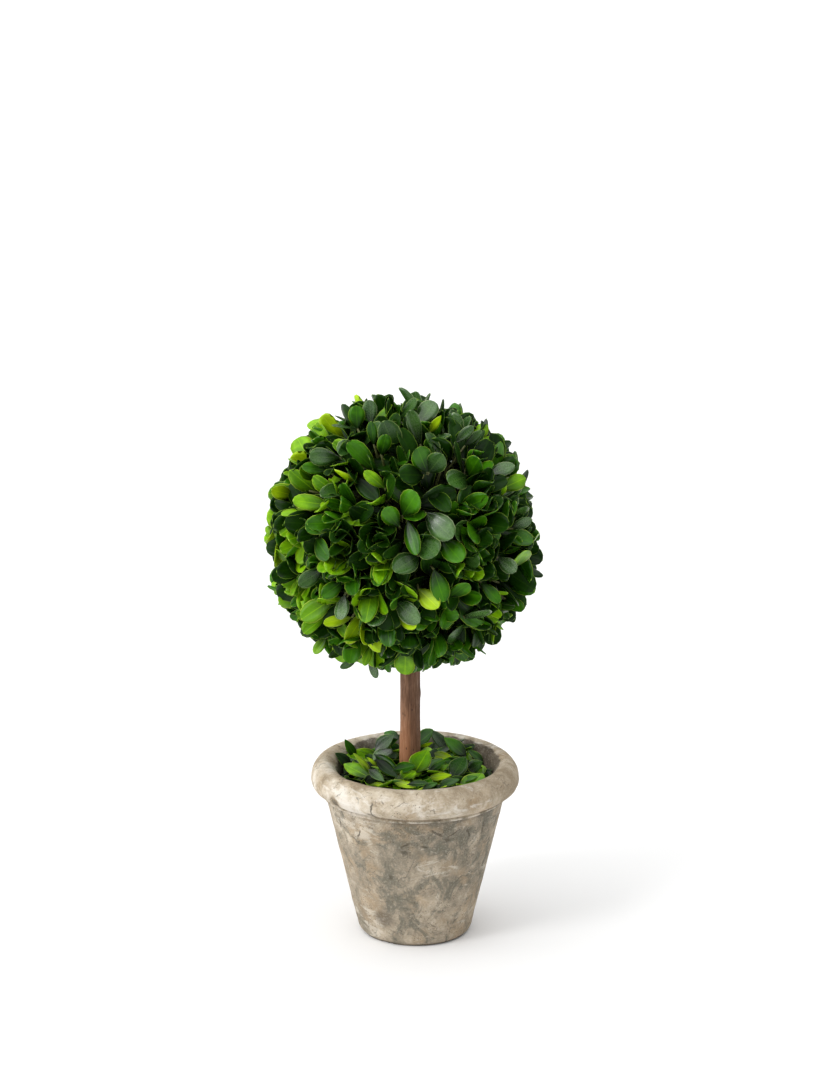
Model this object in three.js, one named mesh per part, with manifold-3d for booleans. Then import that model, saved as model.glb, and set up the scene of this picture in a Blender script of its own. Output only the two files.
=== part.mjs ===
// A box topiary ball: clipped box foliage on a plain wooden stem, set in a cast stone pot.
// The stem stands in the filling of the pot, loose leaves hide that filling, and the ball is a
// light core stuck all over with leafy sprigs.
// Millimetres, +Z up. The origin is the middle of the pot's flat underside.

import * as THREE from "three";
import { mergeVertices } from "three/addons/utils/BufferGeometryUtils.js";
import Module from "manifold-3d";

const wasm = await Module();
wasm.setup();

// Driving dimensions. Angles are in radians.

const TURN = 2 * Math.PI;
const GOLDEN_ANGLE = Math.PI * (3 - Math.sqrt(5));
const UP = new THREE.Vector3(0, 0, 1);
const GAP = 0.3; // left between pieces that touch
const FINEST = 0.03; // detail smaller than this is taken out of fused leaves

const POT = {
  footRadius: 34, // where the line of the wall meets the ground
  footRound: 5,
  neckRadius: 54.6, // outside, under the rolled rim
  neckHeight: 87.5,
  bandHeight: 4.5, // the low band that the roll sits on
  bandOut: 1.8,
  bandSlope: 1, // how far the band's lower edge rises as it comes out
  rollRadius: 55, // middle of the rolled rim
  rollHeight: 97,
  rollOut: 8,
  rollUp: 10.5,
  rollDown: 7.5,
  rollStart: -1.2, // where the roll comes off the band, below level
  floor: 9,
  wall: 7.7,
  sides: 48,
};

const STEM = {
  x: -3,
  foot: 34, // the flat cut, down in the filling
  tip: 262, // inside the ball
  footRadius: 6.5,
  swellFoot: 112, // the thicker foot narrows from here
  swellTop: 128, // to here
  slimRadius: 6.05,
  tipRadius: 5.9,
  sides: 16,
};

const FILLING = {
  top: 90,
  wallGap: 0.5,
};

const LITTER = {
  seed: 21,
  edge: 46.4, // how far out the loose leaves reach
  mattedEdge: 44.9, // how far out the matted ones under them reach
  mattedSides: 24,
  edgeThickness: 4,
  middleThickness: 8,
  leaves: 70,
  inset: 4, // the middle of the outermost leaf, in from the edge
  length: 21,
  width: 12,
  smallest: 0.85, // sizes, as shares of the length and width above
  largest: 1.1,
  lowTilt: 0.1, // above level
  highTilt: 0.9,
  roll: 0.8, // how far a leaf may lie turned about its length
  back: 0.25, // how far its root lies back from its place, as a share of its length
  sink: 0.8, // how deep its root lies in the matted leaves
};

const CROWN = {
  seed: 5,
  x: -6.8,
  z: 248.5, // middle of the ball
  radius: 84,
  halfHeight: 86.5,
  coreRadius: 60,
  coreDetail: 3,
  stemRoom: 1, // leaves keep this far from the stem's thickest part
};

const SPRIG = {
  count: 96,
  uneven: 0.3, // how far round the ball a sprig may be off its even place
  lean: 0.2, // how far it may lean off the straight way out
  smallest: 0.92,
  largest: 1.08,
  twigFootRadius: 1.6,
  twigTipRadius: 1.2,
  twigSink: 4, // how deep its twig is stuck in the core
  twigPast: 1, // how far its twig runs past the last leaves
};

// The pairs of leaves on a sprig, from the lowest up: how far out from the core's surface they
// grow, how far they open from the twig, and their size.
const LEAF_PAIRS = [
  { out: 2.5, open: 1.0, length: 24, width: 16.5 },
  { out: 7, open: 0.42, length: 18, width: 14.5 },
];

const LEAF = {
  corners: [0.56, 0.94], // where the outline has corners, as shares of the length
  thickest: 0.45,
  thickness: 0.5,
  cup: 0.13, // how deep the blade is dished, as a share of its width
  rootApart: 0.15, // from the twig's middle line, so that two roots in one twig stay clear
  shortest: 0.88, // lengths, as shares of the pair's
  longest: 1.06,
  tries: 7, // ways that a leaf may grow before it is skipped
  strays: 0.3, // how far it may turn and open off its even way at the first try
  straysMore: 0.12, // and how much further at each other try
};

// Materials.

const finish = (color, roughness) => new THREE.MeshStandardMaterial({ color, roughness, metalness: 0 });
const MATERIALS = {
  stone: finish(0xb5a995, 0.85),
  wood: finish(0x6b4a35, 0.65),
  filling: finish(0x4a4a36, 0.95),
  leaf: finish(0x2f5a1c, 0.45),
  looseLeaf: finish(0x4c7a22, 0.5),
};

// Numbers.

// Seeded random numbers, from 0 to 1.
function seeded(seed) {
  let state = seed;
  return () => {
    state = (state + 0x6d2b79f5) | 0;
    let t = Math.imul(state ^ (state >>> 15), 1 | state);
    t = (t + Math.imul(t ^ (t >>> 7), 61 | t)) ^ t;
    return ((t ^ (t >>> 14)) >>> 0) / 2 ** 32;
  };
}

const mix = (a, b, share) => a + (b - a) * share;

// Even steps from one number to another, both included.
const levels = (from, to, steps) => Array.from({ length: steps + 1 }, (_, i) => mix(from, to, i / steps));

// Solids and geometry.

function toSolid(geometry) {
  const bare = geometry.clone();
  bare.deleteAttribute("normal");
  bare.deleteAttribute("uv");
  const merged = mergeVertices(bare, 1e-4);
  return new wasm.Manifold(
    new wasm.Mesh({
      numProp: 3,
      vertProperties: new Float32Array(merged.attributes.position.array),
      triVerts: new Uint32Array(merged.index.array),
    }),
  );
}

function toGeometry(solid) {
  const mesh = solid.getMesh();
  const geometry = new THREE.BufferGeometry();
  geometry.setAttribute("position", new THREE.BufferAttribute(mesh.vertProperties, 3));
  geometry.setIndex(new THREE.BufferAttribute(mesh.triVerts, 1));
  geometry.computeVertexNormals();
  return geometry;
}

// The outside of the largest body of a solid: a sealed hollow and a loose scrap are left out.
function wholeBody(solid) {
  const bodies = solid.decompose();
  return bodies.reduce((a, b) => (a.volume() > b.volume() ? a : b));
}

// A solid of revolution round an upright axis, from [radius, height] points that start and end on it.
function turned(profile, sides, x = 0) {
  const points = profile.map(([radius, height]) => new THREE.Vector2(radius, height));
  const geometry = new THREE.LatheGeometry(points, sides);
  geometry.rotateX(Math.PI / 2);
  geometry.translate(x, 0, 0);
  return geometry;
}

// Points of an elliptic arc, both ends included.
const arc = (radius, height, out, up, from, to, steps) =>
  levels(from, to, steps).map((angle) => [radius + out * Math.cos(angle), height + up * Math.sin(angle)]);

// Pot.

const wallRadius = (height) => mix(POT.footRadius, POT.neckRadius, height / POT.neckHeight);
const floorRadius = wallRadius(POT.floor) - POT.wall;
const mouthRadius = POT.rollRadius - POT.rollOut;
const insideRadius = (height) =>
  mix(floorRadius, mouthRadius, (height - POT.floor) / (POT.rollHeight - POT.floor));

function potGeometry() {
  const slope = Math.atan((POT.neckRadius - POT.footRadius) / POT.neckHeight);
  const round = POT.footRound;
  const roundRadius = wallRadius(round) - round / Math.cos(slope);
  const bandFoot = POT.neckHeight - POT.bandHeight;
  return turned(
    [
      [0, 0],
      ...arc(roundRadius, round, round, round, -Math.PI / 2, -slope, 4),
      [wallRadius(bandFoot), bandFoot],
      [wallRadius(bandFoot) + POT.bandOut, bandFoot + POT.bandSlope],
      [wallRadius(POT.neckHeight) + POT.bandOut, POT.neckHeight],
      ...arc(POT.rollRadius, POT.rollHeight, POT.rollOut, POT.rollDown, POT.rollStart, 0, 4).slice(0, -1),
      ...arc(POT.rollRadius, POT.rollHeight, POT.rollOut, POT.rollUp, 0, Math.PI, 11),
      [floorRadius, POT.floor],
      [0, POT.floor],
    ],
    POT.sides,
  );
}

// Stem.

function stemRadius(height) {
  if (height > STEM.swellTop) {
    return mix(STEM.slimRadius, STEM.tipRadius, (height - STEM.swellTop) / (STEM.tip - STEM.swellTop));
  }
  const share = THREE.MathUtils.smoothstep(height, STEM.swellFoot, STEM.swellTop);
  return mix(STEM.footRadius, STEM.slimRadius, share);
}

function stemGeometry() {
  const swell = levels(STEM.swellFoot, STEM.swellTop, 4);
  const slim = levels(STEM.swellTop, STEM.tip, 4).slice(1);
  const side = [STEM.foot, ...swell, ...slim].map((height) => [stemRadius(height), height]);
  return turned([[0, STEM.foot], ...side, [0, STEM.tip]], STEM.sides, STEM.x);
}

// An upright cylinder round the stem, clear of a radius of it all round.
function stemRoom(radius, clearance, from, to) {
  const clear = (radius + clearance) / Math.cos(Math.PI / STEM.sides);
  return toSolid(turned([[0, from], [clear, from], [clear, to], [0, to]], STEM.sides, STEM.x));
}

// Filling: it takes up the pot from its floor to under the loose leaves, with a socket for the stem.

function fillingGeometry() {
  const foot = POT.floor + GAP;
  const side = [foot, FILLING.top].map((height) => [insideRadius(height) - FILLING.wallGap, height]);
  const block = toSolid(turned([[0, foot], ...side, [0, FILLING.top]], POT.sides));
  const socket = stemRoom(STEM.footRadius, GAP, STEM.foot - GAP, FILLING.top + GAP);
  return toGeometry(block.subtract(socket));
}

// Leaves.

// Half the width of a box leaf at a share of its length: narrow at the root, widest past the
// middle, and blunt at the end.
const outline = (share) => Math.sin(Math.PI * share ** 1.3) ** 0.7;

// A leaf along +X from its root, with its dished upper face up +Z. The rim is sharp, and a point
// on each face of the midrib gives the thickness.
function leafGeometry(length, width) {
  const rim = [[0, 0, 0]];
  const dish = LEAF.cup * width;
  for (const share of LEAF.corners) {
    const half = (outline(share) * width) / 2;
    rim.unshift([share * length, half, dish]);
    rim.push([share * length, -half, dish]);
  }
  const middle = LEAF.thickest * length;
  const points = [...rim, [middle, 0, LEAF.thickness / 2], [middle, 0, -LEAF.thickness / 2]];
  const faces = rim.flatMap((_, i) => {
    const next = (i + 1) % rim.length;
    return [i, next, rim.length, next, i, rim.length + 1];
  });
  const geometry = new THREE.BufferGeometry();
  geometry.setAttribute("position", new THREE.Float32BufferAttribute(points.flat(), 3));
  geometry.setIndex(faces);
  return geometry;
}

// A leaf with its root at a point, grown along one direction with its upper face towards another.
function placedLeaf(root, along, upper, length, width) {
  const across = new THREE.Vector3().crossVectors(upper, along).normalize();
  const face = new THREE.Vector3().crossVectors(along, across);
  const place = new THREE.Matrix4().makeBasis(along, across, face).setPosition(root);
  return toSolid(leafGeometry(length, width).applyMatrix4(place));
}

// Crown.

const crownMiddle = new THREE.Vector3(CROWN.x, 0, CROWN.z);
const belowCrown = CROWN.z - CROWN.halfHeight - GAP;

// How much of the way a point lies from the ball's middle to its outline: 1 is on the outline.
function crownReach(point) {
  const away = point.clone().sub(crownMiddle);
  away.z *= CROWN.radius / CROWN.halfHeight;
  return away.length() / CROWN.radius;
}

// Whether a solid touches any of some others, each kept with its bounding box.
function touches(solid, others) {
  const box = solid.boundingBox();
  const apart = (other) => [0, 1, 2].some((i) => box.min[i] > other.max[i] || box.max[i] < other.min[i]);
  return others.some((other) => !apart(other.box) && !solid.intersect(other.solid).isEmpty());
}

// Two unit vectors square to a direction and to each other.
function squareTo(direction) {
  const helper = Math.abs(direction.z) < 0.9 ? UP : new THREE.Vector3(1, 0, 0);
  const first = new THREE.Vector3().crossVectors(helper, direction).normalize();
  return [first, new THREE.Vector3().crossVectors(direction, first)];
}

// A direction turned by an angle from an axis towards a way that is square to it.
const turnedFrom = (axis, sideways, angle) =>
  axis.clone().multiplyScalar(Math.cos(angle)).addScaledVector(sideways, Math.sin(angle));

// A three-sided twig from one point to another.
function twigSolid(from, to) {
  const [first, second] = squareTo(to.clone().sub(from).normalize());
  const ring = (middle, radius) =>
    [0, 1, 2].map((i) => middle.clone().addScaledVector(turnedFrom(first, second, (TURN * i) / 3), radius));
  const sides = [0, 1, 2].flatMap((i) => [i, (i + 1) % 3, 3 + i, (i + 1) % 3, 3 + ((i + 1) % 3), 3 + i]);
  const geometry = new THREE.BufferGeometry().setFromPoints([
    ...ring(from, SPRIG.twigFootRadius),
    ...ring(to, SPRIG.twigTipRadius),
  ]);
  geometry.setIndex([0, 2, 1, 3, 4, 5, ...sides]);
  return toSolid(geometry);
}

// A sprig: a twig out of the core with pairs of leaves, each pair a quarter turn from the last.
// The leaves open less towards the tip. A leaf that would leave the ball, or touch the stem or a
// leaf that is already there, is turned and opened another way, and skipped after a few tries.
function growSprig(outward, random, twigs, leaves, stem) {
  const jitter = (amount) => amount * (random() - 0.5);
  const [first, second] = squareTo(outward);
  const axis = outward.clone();
  axis.addScaledVector(first, jitter(SPRIG.lean)).addScaledVector(second, jitter(SPRIG.lean)).normalize();
  const surface = crownMiddle.clone().addScaledVector(outward, CROWN.coreRadius);
  const along = (out) => surface.clone().addScaledVector(axis, out);
  twigs.push(twigSolid(along(-SPRIG.twigSink), along(LEAF_PAIRS.at(-1).out + SPRIG.twigPast)));
  const scale = mix(SPRIG.smallest, SPRIG.largest, random());
  let turn = random() * TURN;
  for (const pair of LEAF_PAIRS) {
    for (const side of [0, Math.PI]) {
      for (let attempt = 0; attempt < LEAF.tries; attempt++) {
        const strays = LEAF.strays + LEAF.straysMore * attempt;
        const sideways = turnedFrom(first, second, turn + side + jitter(2 * strays));
        const open = pair.open + jitter(strays);
        const length = pair.length * scale * mix(LEAF.shortest, LEAF.longest, random());
        const root = along(pair.out).addScaledVector(sideways, LEAF.rootApart);
        const grown = turnedFrom(axis, sideways, open);
        const upper = turnedFrom(axis, sideways, open - Math.PI / 2);
        if (crownReach(root.clone().addScaledVector(grown, length)) > 1) continue;
        const leaf = placedLeaf(root, grown, upper, length, pair.width * scale);
        if (!leaf.intersect(stem).isEmpty() || touches(leaf, leaves)) continue;
        leaves.push({ solid: leaf, box: leaf.boundingBox() });
        break;
      }
    }
    turn += TURN / 4;
  }
}

function crownGeometry() {
  const random = seeded(CROWN.seed);
  const core = new THREE.IcosahedronGeometry(CROWN.coreRadius, CROWN.coreDetail);
  core.translate(crownMiddle.x, crownMiddle.y, crownMiddle.z);
  const stem = stemRoom(STEM.footRadius, CROWN.stemRoom, belowCrown, STEM.tip);
  const twigs = [];
  const leaves = [];
  for (let i = 0; i < SPRIG.count; i++) {
    const height = 1 - (2 * i + 1) / SPRIG.count;
    const angle = i * GOLDEN_ANGLE + SPRIG.uneven * (random() - 0.5);
    const level = Math.sqrt(1 - height * height);
    const outward = new THREE.Vector3(level * Math.cos(angle), level * Math.sin(angle), height);
    growSprig(outward, random, twigs, leaves, stem);
  }
  const socket = stemRoom(stemRadius(belowCrown), GAP, belowCrown, STEM.tip + GAP);
  const mass = wasm.Manifold.union([toSolid(core), ...twigs, ...leaves.map((leaf) => leaf.solid)]);
  return toGeometry(wholeBody(mass.subtract(socket).simplify(FINEST)));
}

// Loose leaves over the filling: matted ones, low at the pot's wall, and others on them that lie
// or stand at all angles. One that would touch the pot or the stem is skipped.

function litterGeometry() {
  const random = seeded(LITTER.seed);
  const foot = FILLING.top + GAP;
  const top = (radius) => foot + mix(LITTER.middleThickness, LITTER.edgeThickness, radius / LITTER.edge);
  const side = [LITTER.mattedEdge, LITTER.mattedEdge / 2, 0].map((radius) => [radius, top(radius)]);
  const matted = turned([[0, foot], [LITTER.mattedEdge, foot], ...side], LITTER.mattedSides);
  const stem = stemRoom(STEM.footRadius, GAP, FILLING.top, belowCrown);
  const solids = [toSolid(matted)];
  for (let i = 0; i < LITTER.leaves; i++) {
    const radius = (LITTER.edge - LITTER.inset) * Math.sqrt((i + 0.5) / LITTER.leaves);
    const place = i * GOLDEN_ANGLE;
    const heading = random() * TURN;
    const tilt = mix(LITTER.lowTilt, LITTER.highTilt, random() ** 2);
    const roll = LITTER.roll * (random() - 0.5);
    const size = mix(LITTER.smallest, LITTER.largest, random());
    const level = new THREE.Vector3(Math.cos(heading), Math.sin(heading), 0);
    const along = turnedFrom(level, UP, tilt);
    const upper = new THREE.Vector3(roll * level.y, -roll * level.x, 1);
    const root = new THREE.Vector3(radius * Math.cos(place), radius * Math.sin(place), 0);
    root.addScaledVector(along, -LITTER.back * LITTER.length * size);
    root.z = top(radius) - LITTER.sink;
    const tip = root.clone().addScaledVector(along, LITTER.length * size);
    const rootOut = Math.hypot(root.x, root.y);
    const tipOut = Math.hypot(tip.x, tip.y) + LITTER.width / 2;
    if (rootOut > LITTER.mattedEdge || tipOut > LITTER.edge) continue;
    const leaf = placedLeaf(root, along, upper, LITTER.length * size, LITTER.width * size);
    if (leaf.intersect(stem).isEmpty()) solids.push(leaf);
  }
  const litter = wasm.Manifold.union(solids).subtract(stem);
  return toGeometry(wholeBody(litter.simplify(FINEST)));
}

// The assembly.

function named(name, geometry, material) {
  const mesh = new THREE.Mesh(geometry, material);
  mesh.name = name;
  return mesh;
}

const topiary = new THREE.Group();
topiary.add(
  named("pot", potGeometry(), MATERIALS.stone),
  named("filling", fillingGeometry(), MATERIALS.filling),
  named("loose_leaves", litterGeometry(), MATERIALS.looseLeaf),
  named("stem", stemGeometry(), MATERIALS.wood),
  named("crown", crownGeometry(), MATERIALS.leaf),
);

export default topiary;
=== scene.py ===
import math
import random

import bmesh
import bpy
import numpy as np
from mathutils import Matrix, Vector, noise


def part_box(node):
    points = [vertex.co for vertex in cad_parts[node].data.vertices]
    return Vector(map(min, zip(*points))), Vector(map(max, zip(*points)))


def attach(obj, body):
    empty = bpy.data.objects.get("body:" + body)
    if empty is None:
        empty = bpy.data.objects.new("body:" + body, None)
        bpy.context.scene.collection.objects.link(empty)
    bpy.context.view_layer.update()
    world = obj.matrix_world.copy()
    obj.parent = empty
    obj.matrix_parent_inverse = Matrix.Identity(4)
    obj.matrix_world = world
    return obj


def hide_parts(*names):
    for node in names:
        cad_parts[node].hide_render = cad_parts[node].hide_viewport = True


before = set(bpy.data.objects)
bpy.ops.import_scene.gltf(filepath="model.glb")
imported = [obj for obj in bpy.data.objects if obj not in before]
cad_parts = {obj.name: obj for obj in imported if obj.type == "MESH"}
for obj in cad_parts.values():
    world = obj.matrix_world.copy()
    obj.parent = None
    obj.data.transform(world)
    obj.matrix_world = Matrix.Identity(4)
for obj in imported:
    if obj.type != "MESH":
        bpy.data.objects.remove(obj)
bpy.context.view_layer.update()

fullTurn = 2 * math.pi
goldenAngle = math.pi * (3 - math.sqrt(5))

stemLow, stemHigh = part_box("stem")
stemX = (stemLow.x + stemHigh.x) / 2


def mix(a, b, share):
    return a + (b - a) * share


def steps(low, high, count):  # even steps, both ends included
    return [mix(low, high, i / count) for i in range(count + 1)]


# Tools for modelling

def startWith(primitive, **settings):
    bpy.ops.object.select_all(action="DESELECT")
    primitive(**settings)
    piece = bpy.context.object
    bpy.ops.object.transform_apply(location=True, rotation=True, scale=True)
    return piece


def selectIn(piece, kind, wanted):  # kind is VERT, EDGE or FACE
    bpy.ops.mesh.select_mode(type=kind)
    bpy.ops.mesh.select_all(action="DESELECT")
    mesh = bmesh.from_edit_mesh(piece.data)
    for element in {"VERT": mesh.verts, "EDGE": mesh.edges, "FACE": mesh.faces}[kind]:
        element.select_set(wanted(element))
    mesh.select_flush_mode()
    bmesh.update_edit_mesh(piece.data)


def editOn():
    bpy.ops.object.mode_set(mode="EDIT")


def editOff():
    bpy.ops.object.mode_set(mode="OBJECT")


def turnProfile(points, turns):  # radius and height of each point, from the origin to another on the axis
    piece = startWith(bpy.ops.mesh.primitive_plane_add, size=0.01)
    editOn()
    bpy.ops.mesh.select_all(action="SELECT")
    bpy.ops.mesh.merge(type="CENTER")
    spots = [Vector((radius, 0, height)) for radius, height in points]
    for here, there in zip(spots, spots[1:]):
        bpy.ops.mesh.extrude_vertices_move(TRANSFORM_OT_translate={"value": there - here})
    bpy.ops.mesh.select_all(action="SELECT")
    bpy.ops.mesh.spin(steps=turns, angle=fullTurn, center=(0, 0, 0), axis=(0, 0, 1))
    bpy.ops.mesh.select_all(action="SELECT")
    bpy.ops.mesh.remove_doubles(threshold=1e-5)
    bpy.ops.mesh.normals_make_consistent(inside=False)
    editOff()
    return piece


def displace(piece, texture, size, strength, axis="NORMAL"):
    grain = bpy.data.textures.new(piece.name + texture, texture)
    grain.noise_scale = size
    relief = piece.modifiers.new("relief", "DISPLACE")
    relief.texture = grain
    relief.texture_coords = "LOCAL"
    relief.direction = axis
    relief.strength = strength
    relief.mid_level = 0.5
    bpy.ops.object.modifier_apply(modifier=relief.name)


def cutSocket(piece, low, high):  # room for the stem
    cutter = startWith(
        bpy.ops.mesh.primitive_cylinder_add,
        vertices=32,
        radius=stem["footRadius"] + stem["clearance"],
        depth=high - low,
        location=(stemX, 0, (low + high) / 2),
    )
    bpy.context.view_layer.objects.active = piece
    cut = piece.modifiers.new("socket", "BOOLEAN")
    cut.object = cutter
    cut.solver = "EXACT"
    bpy.ops.object.modifier_apply(modifier=cut.name)
    bpy.data.objects.remove(cutter)


def finishPiece(piece, name, materials, node=None):
    piece.name = name
    piece.data.name = name
    piece.data.materials.clear()
    for material in materials:
        piece.data.materials.append(material)
    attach(piece, "root")
    if node:
        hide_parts(node)


# Tools for materials

def setSurface(tree, shader, colour, roughness, relief, gloss=0.5):
    values = {"Base Color": colour, "Roughness": roughness, "Normal": relief, "Specular IOR Level": gloss}
    setInputs(tree, shader, values)


def newMaterial(name):
    material = bpy.data.materials.new(name)
    material.use_nodes = True
    tree = material.node_tree
    return material, tree, tree.nodes["Principled BSDF"]


def setInputs(tree, node, values):
    for key, value in values.items():
        if isinstance(value, bpy.types.NodeSocket):
            tree.links.new(value, node.inputs[key])
        else:
            node.inputs[key].default_value = value


def addNode(tree, kind, values, **settings):
    made = tree.nodes.new(kind)
    for key, value in settings.items():
        setattr(made, key, value)
    setInputs(tree, made, values)
    return made


def objectSpot(tree, scale=(1, 1, 1)):
    place = addNode(tree, "ShaderNodeTexCoord", {})
    return addNode(tree, "ShaderNodeMapping", {"Vector": place.outputs["Object"], "Scale": scale}).outputs[0]


def noiseOf(tree, spot, size, detail=4.0, roughness=0.5, distortion=0.0):  # size of a blotch, in metres
    values = {"Vector": spot, "Scale": 1 / size, "Detail": detail, "Roughness": roughness}
    values["Distortion"] = distortion
    return addNode(tree, "ShaderNodeTexNoise", values).outputs[0]


def cells(tree, spot, size, feature="F1"):
    values = {"Vector": spot, "Scale": 1 / size}
    return addNode(tree, "ShaderNodeTexVoronoi", values, feature=feature).outputs["Distance"]


def sums(tree, operation, a, b=0.0, c=0.0):
    return addNode(tree, "ShaderNodeMath", {0: a, 1: b, 2: c}, operation=operation).outputs[0]


def plus(tree, a, b):
    return sums(tree, "ADD", a, b)


def minus(tree, a, b):
    return sums(tree, "SUBTRACT", a, b)


def times(tree, a, b):
    return sums(tree, "MULTIPLY", a, b)


def larger(tree, a, b):
    return sums(tree, "MAXIMUM", a, b)


def spread(tree, value, low, high, toLow=0.0, toHigh=1.0):  # smooth step from low to high
    values = {"Value": value, "From Min": low, "From Max": high, "To Min": toLow, "To Max": toHigh}
    return addNode(tree, "ShaderNodeMapRange", values, interpolation_type="SMOOTHSTEP").outputs[0]


def between(tree, value, start, full, ebb, end):  # rises from start to full, falls from ebb to end
    return times(tree, spread(tree, value, start, full), spread(tree, value, ebb, end, 1, 0))


def blend(tree, share, a, b):
    values = {0: share, 6: a, 7: b}
    return addNode(tree, "ShaderNodeMix", values, data_type="RGBA").outputs[2]


def ramp(tree, value, stops):
    made = addNode(tree, "ShaderNodeValToRGB", {"Fac": value})
    while len(made.color_ramp.elements) < len(stops):
        made.color_ramp.elements.new(0.5)
    for element, (place, colour) in zip(made.color_ramp.elements, stops):
        element.position = place
        element.color = (*colour, 1)
    return made.outputs[0]


def bump(tree, height, strength, distance, normal=None):
    values = {"Height": height, "Strength": strength, "Distance": distance}
    if normal:
        values["Normal"] = normal
    return addNode(tree, "ShaderNodeBump", values).outputs[0]


# Camera, light and floor

camera = {"side": -0.0031, "back": 1.7, "height": 0.692, "down": 14.73, "lens": 98.7}
studio = {
    "worldStrength": 0.34,
    "lights": [  # strength, spread, tilt from straight above and the side it comes from, in degrees
        {"name": "broadLight", "strength": 2.75, "spread": 115, "tilt": 8, "side": -95},
        {"name": "leftLight", "strength": 1.08, "spread": 66, "tilt": 74, "side": -76},
        {"name": "keyLight", "strength": 0.75, "spread": 16, "tilt": 50, "side": -52},
    ],
    "floorSize": 400,
    "floorColour": (0.84, 0.84, 0.84, 1),
}


def makeStudio():
    view = bpy.data.objects.new("camera", bpy.data.cameras.new("camera"))
    bpy.context.scene.collection.objects.link(view)
    view.location = (camera["side"], -camera["back"], camera["height"])
    view.rotation_euler = (math.radians(90 - camera["down"]), 0, 0)
    view.data.lens = camera["lens"]
    view.data.sensor_width = 36
    view.data.clip_end = 100
    bpy.context.scene.camera = view

    for light in studio["lights"]:
        lamp = bpy.data.objects.new(light["name"], bpy.data.lights.new(light["name"], "SUN"))
        bpy.context.scene.collection.objects.link(lamp)
        lamp.data.energy = light["strength"]
        lamp.data.angle = math.radians(light["spread"])
        lamp.rotation_euler = (math.radians(light["tilt"]), 0, math.radians(light["side"]))

    world = bpy.data.worlds.new("studio")
    bpy.context.scene.world = world
    world.use_nodes = True
    background = world.node_tree.nodes["Background"]
    background.inputs["Color"].default_value = (1, 1, 1, 1)
    background.inputs["Strength"].default_value = studio["worldStrength"]

    floor = startWith(bpy.ops.mesh.primitive_plane_add, size=studio["floorSize"])
    floor.name = "floor"
    material, tree, shader = newMaterial("paleFloor")
    values = {"Base Color": studio["floorColour"], "Roughness": 0.9, "Specular IOR Level": 0.1}
    setInputs(tree, shader, values)
    floor.data.materials.append(material)
    bpy.context.scene.view_settings.view_transform = "Standard"
    print("studio ready")


# Pot: cast stone, worn and stained

pot = {
    "footRadius": 0.034,
    "footRound": 0.005,
    "neckRadius": 0.0546,
    "neckHeight": 0.0875,
    "lipHeight": 0.0866,
    "rollRadius": 0.055,
    "rollHeight": 0.097,
    "rollOut": 0.008,
    "rollUp": 0.0105,
    "rollDown": 0.0075,
    "floor": 0.009,
    "wall": 0.0077,
    "turns": 300,
    "fine": 0.0011,  # between rings where the pot shows
}


def arcPoints(radius, height, out, up, low, high, count):
    return [(radius + out * math.cos(a), height + up * math.sin(a)) for a in steps(low, high, count)]


def linePoints(start, end, count):
    return [(mix(start[0], end[0], i / count), mix(start[1], end[1], i / count)) for i in range(1, count)]


def potProfile():
    slope = math.atan((pot["neckRadius"] - pot["footRadius"]) / pot["neckHeight"])

    def wallRadius(height):
        return mix(pot["footRadius"], pot["neckRadius"], height / pot["neckHeight"])

    footRound = pot["footRound"]
    foot = arcPoints(
        wallRadius(footRound) - footRound / math.cos(slope), footRound, footRound, footRound,
        -math.pi / 2, -slope, 7,
    )
    lipHeight = pot["lipHeight"]
    wallEnd = (wallRadius(lipHeight) - 0.0003, lipHeight - 0.0007)
    lip = [  # a narrow bead under the roll: out from the wall, up from its foot
        (0, -0.0002), (0.0006, 0), (0.0013, 0.0003), (0.0017, 0.0009), (0.0017, 0.0015),
        (0.0014, 0.0021), (0.0014, 0.0026),
    ]
    ledge = [(wallRadius(lipHeight) + out, lipHeight + up) for out, up in lip]
    under = arcPoints(pot["rollRadius"], pot["rollHeight"], pot["rollOut"], pot["rollDown"], -1.2, 0, 9)
    over = arcPoints(pot["rollRadius"], pot["rollHeight"], pot["rollOut"], pot["rollUp"], 0, math.pi, 30)
    inner = wallRadius(pot["floor"]) - pot["wall"]
    rows = round((lipHeight - footRound) / pot["fine"])
    return [
        (0, 0),
        (foot[0][0] * 0.6, 0),
        *foot,
        *linePoints(foot[-1], wallEnd, rows),
        wallEnd,
        *ledge,
        *under[:-1],
        *over,
        *linePoints(over[-1], (inner, pot["floor"]), 24),
        (inner, pot["floor"]),
        (0, pot["floor"]),
    ]


# Marks: how far round from the front, height, half the width and height, depth
potMarks = [
    (-27, 0.0915, 0.0020, 0.0016, 0.0009), (-51, 0.0932, 0.0034, 0.0036, 0.0010),
    (-19, 0.0480, 0.0018, 0.0022, 0.0006), (22, 0.0735, 0.0024, 0.0020, 0.0009),
    (-7, 0.0660, 0.0036, 0.0022, 0.0006), (-30, 0.0180, 0.0085, 0.0075, 0.0008),
    (52, 0.0760, 0.0012, 0.0065, 0.0007), (140, 0.0900, 0.0020, 0.0050, 0.0010),
    (-150, 0.0600, 0.0070, 0.0035, 0.0008),
]

# Cracks and scratches on the front: how far round, height of the middle, length, width, slant in degrees
potStrokes = [
    (-24.5, 0.0960, 0.0100, 0.0009, 0), (-24.5, 0.0910, 0.0055, 0.0018, 0),
    (14, 0.0790, 0.0095, 0.0009, 125), (38, 0.0757, 0.0085, 0.0009, 155),
    (-7, 0.0712, 0.0080, 0.0008, 65), (27, 0.0775, 0.0100, 0.0007, 60), (6, 0.0700, 0.0060, 0.0007, 100),
    (-60, 0.0770, 0.0090, 0.0007, 10), (-40, 0.0745, 0.0070, 0.0007, 30),
]
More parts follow.
